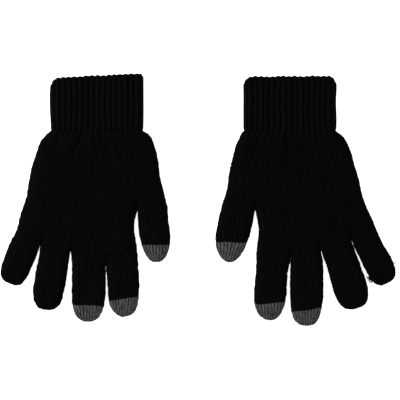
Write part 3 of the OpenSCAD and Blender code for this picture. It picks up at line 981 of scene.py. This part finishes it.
def math_node(tree, operation, first, second):
    """A math node on two inputs, each a socket or a number."""
    node = tree.nodes.new("ShaderNodeMath")
    node.operation = operation
    for socket, value in zip(node.inputs, (first, second)):
        if isinstance(value, (int, float)):
            socket.default_value = value
        else:
            tree.links.new(value, socket)
    return node.outputs[0]


def noise_node(tree, vector, scale, detail, roughness):
    node = tree.nodes.new("ShaderNodeTexNoise")
    node.inputs["Scale"].default_value = scale
    node.inputs["Detail"].default_value = detail
    node.inputs["Roughness"].default_value = roughness
    tree.links.new(vector, node.inputs["Vector"])
    return node.outputs["Fac"]


def yarn_noise(tree):
    """Noise for single fibres, and the same mixed with streaks along the wales."""
    place = tree.nodes.new("ShaderNodeTexCoord").outputs["Object"]
    drawn = tree.nodes.new("ShaderNodeMapping")
    drawn.inputs["Scale"].default_value = (1.0, STREAK_DRAWN, 1.0)
    tree.links.new(place, drawn.inputs["Vector"])
    fibre = noise_node(tree, place, FIBRE_SCALE, 4, 0.7)
    streak = noise_node(tree, drawn.outputs["Vector"], STREAK_SCALE, 3, 0.6)
    fibre_part = math_node(tree, "MULTIPLY", fibre, FIBRE_SHARE)
    streak_part = math_node(tree, "MULTIPLY", streak, 1 - FIBRE_SHARE)
    return fibre, math_node(tree, "ADD", fibre_part, streak_part)


# Colours the painted shade, broken up by random tone: the dark colour in the grooves, the light one on the
# stitches.
def painted_shade_ramp(tree, painted_shade_and_tone, dark, light):
    ramp = tree.nodes.new("ShaderNodeValToRGB")
    for element, position, colour in zip(ramp.color_ramp.elements, (PAINTED_SHADE_START, 1.0), (dark, light)):
        element.position = position
        element.color = (*colour, 1)
    tree.links.new(painted_shade_and_tone, ramp.inputs["Fac"])
    return ramp.outputs["Color"]


def yarn_material(name, dark, light, gloss, sheen, bump):
    """Yarn, with painted shade down between the wales and painted light on them, streaked along them by
    its fibres.
    """
    material, tree, shader = node_tree(name)
    fibre, mixed = yarn_noise(tree)
    broken = math_node(tree, "MULTIPLY", math_node(tree, "SUBTRACT", mixed, 0.5), BREAK_UP)
    # Reads the painted shade stored in the 'yarn' attribute.
    stitch = tree.nodes.new("ShaderNodeAttribute")
    stitch.attribute_name = "yarn"
    painted_shade_and_tone = math_node(tree, "ADD", stitch.outputs["Fac"], broken)
    tree.links.new(painted_shade_ramp(tree, painted_shade_and_tone, dark, light), shader.inputs["Base Color"])
    lift = tree.nodes.new("ShaderNodeBump")
    lift.inputs["Strength"].default_value = bump
    lift.inputs["Distance"].default_value = BUMP_DEPTH
    tree.links.new(fibre, lift.inputs["Height"])
    tree.links.new(lift.outputs["Normal"], shader.inputs["Normal"])
    shader.inputs["Roughness"].default_value = ROUGHNESS
    shader.inputs["Specular IOR Level"].default_value = gloss
    shader.inputs["Sheen Weight"].default_value = sheen
    shader.inputs["Sheen Roughness"].default_value = SHEEN_ROUGHNESS
    return material


# Each material's dark colour is painted shade down between the wales and in the rib valleys, and its light
# colour is painted light on the stitches; the noise mixes random tone between them. The elastic's points
# are all 1, so its two colours only bound that random tone.
BLACK_PAINTED_SHADE, BLACK_PAINTED_LIGHT = (0.0008, 0.0008, 0.0009), (0.0024, 0.0024, 0.0026)
GREY_PAINTED_SHADE, GREY_PAINTED_LIGHT = (0.004, 0.004, 0.0042), (0.083, 0.083, 0.0855)
ELASTIC_DARK, ELASTIC_LIGHT = (0.0012, 0.0012, 0.0014), (0.005, 0.005, 0.0055)
BLACK_KNIT = yarn_material("black_knit", BLACK_PAINTED_SHADE, BLACK_PAINTED_LIGHT, 0.012, 0.001, 0.5)
BLACK_RIB = yarn_material("black_rib", BLACK_PAINTED_SHADE, BLACK_PAINTED_LIGHT, 0.012, 0.001, 0.5)
GREY_KNIT = yarn_material("grey_conductive", GREY_PAINTED_SHADE, GREY_PAINTED_LIGHT, 0.06, 0.006, 0.8)
ELASTIC = yarn_material("elastic_yarn", ELASTIC_DARK, ELASTIC_LIGHT, 0.04, 0.002, 0.4)


# The pieces on the frame
def wear(piece, material):
    piece.data.materials.append(material)


def metres(glove, flat):
    return tuple(float(x) for x in glove.row_frame(np.array([[*flat, 0.0]]))[0])


def place_hand(glove, knit):
    hand, cuff = f"{glove.side}_hand", f"{glove.side}_cuff"
    for label in ("palm", "back"):
        wear(knit[label], BLACK_KNIT)
        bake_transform(knit[label])
    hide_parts(hand)


def place_digit(glove, digit, knit):
    prefix = f"{glove.side}_{digit.name}"
    hand, base, tip = f"{glove.side}_hand", f"{prefix}_base", f"{prefix}_tip"
    root, middle, cap = (knit[f"{digit.name}_{part}"] for part in PARTS)
    last = min(digit.joint + JOINT_AFTER, digit.cap - CAP_CLEAR)
    bends = (-KNUCKLE_BEFORE, KNUCKLE_AFTER, digit.joint - JOINT_BEFORE, last)
    knuckle_start, knuckle_end, joint_start, joint_end = (
        metres(glove, digit.root + s * digit.along) for s in bends
    )
    wear(root, BLACK_KNIT)
    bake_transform(root)
    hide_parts(base)
    wear(middle, BLACK_KNIT)
    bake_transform(middle)
    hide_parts(f"{prefix}_middle")
    grey = digit.name in GREY_TIPS
    wear(cap, GREY_KNIT if grey else BLACK_KNIT)
    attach(cap, tip)
    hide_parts(f"{prefix}_cap")


def place_cuff(glove):
    body = f"{glove.side}_cuff"
    cuff, edge = build_cuff(glove)
    wear(cuff, BLACK_RIB)
    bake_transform(cuff)
    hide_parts(body)
    wear(edge, BLACK_RIB)
    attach(edge, body)
    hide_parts(f"{body}_edge")
    elastic = build_elastic(glove)
    wear(elastic, ELASTIC)
    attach(elastic, body)
    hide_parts(f"{body}_elastic")


def build_glove(glove):
    knit = build_knit(glove)
    before = metres(glove, (0, WRIST_BEFORE))
    after = metres(glove, (0, -WRIST_AFTER))
    place_hand(glove, knit)
    for digit in glove.digits:
        place_digit(glove, digit, knit)
    place_cuff(glove)


gloves = {side: Glove(side) for side in SIDES}
for glove in gloves.values():
    build_glove(glove)
fray = build_fray(gloves["right"])
wear(fray, BLACK_KNIT)
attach(fray, "right_little_tip")


# Floor, light and camera
FLOOR_HALF = 4.0
WORLD_STRENGTH = 0.6
VIEW_WIDTH = 0.340  # what the camera takes in from side to side, at VIEW_HEIGHT
VIEW_MIDDLE = 0.0017
VIEW_HEIGHT = 0.007
LENS = 200
SENSOR = 36


def build_floor():
    low, high = -FLOOR_HALF, FLOOR_HALF
    corners = [(low, low, 0), (high, low, 0), (high, high, 0), (low, high, 0)]
    mesh = bpy.data.meshes.new("floor")
    mesh.from_pydata(corners, [], [(0, 1, 2, 3)])
    floor = bpy.data.objects.new("floor", mesh)
    bpy.context.scene.collection.objects.link(floor)
    material, _, shader = node_tree("pale_floor")
    shader.inputs["Base Color"].default_value = (0.9, 0.9, 0.9, 1)
    shader.inputs["Roughness"].default_value = 0.9
    shader.inputs["Emission Color"].default_value = (1, 1, 1, 1)
    shader.inputs["Emission Strength"].default_value = 0.9
    mesh.materials.append(material)


def area_light(name, place, size, power):
    lamp = bpy.data.lights.new(name, "AREA")
    lamp.shape = "SQUARE"
    lamp.size = size
    lamp.energy = power
    light = bpy.data.objects.new(name, lamp)
    light.location = place
    light.rotation_euler = (-Vector(place)).to_track_quat("-Z", "Y").to_euler()
    bpy.context.scene.collection.objects.link(light)


def build_world():
    world = bpy.data.worlds.new("studio")
    world.use_nodes = True
    background = world.node_tree.nodes["Background"]
    background.inputs["Color"].default_value = (1, 1, 1, 1)
    background.inputs["Strength"].default_value = WORLD_STRENGTH
    bpy.context.scene.world = world


def build_camera():
    """A camera that looks straight down on the pair."""
    camera = bpy.data.objects.new("camera", bpy.data.cameras.new("camera"))
    camera.data.lens = LENS
    camera.data.sensor_width = SENSOR
    camera.data.clip_end = 20
    camera.location = (VIEW_MIDDLE, 0.0, VIEW_WIDTH / SENSOR * LENS + VIEW_HEIGHT)
    bpy.context.scene.collection.objects.link(camera)
    bpy.context.scene.camera = camera


build_floor()
area_light("key", place=(-1.3, 0.8, 0.9), size=0.5, power=42)
area_light("fill", place=(1.2, -0.4, 1.2), size=0.9, power=10)
build_world()
build_camera()
bpy.context.scene.view_settings.view_transform = "Standard"
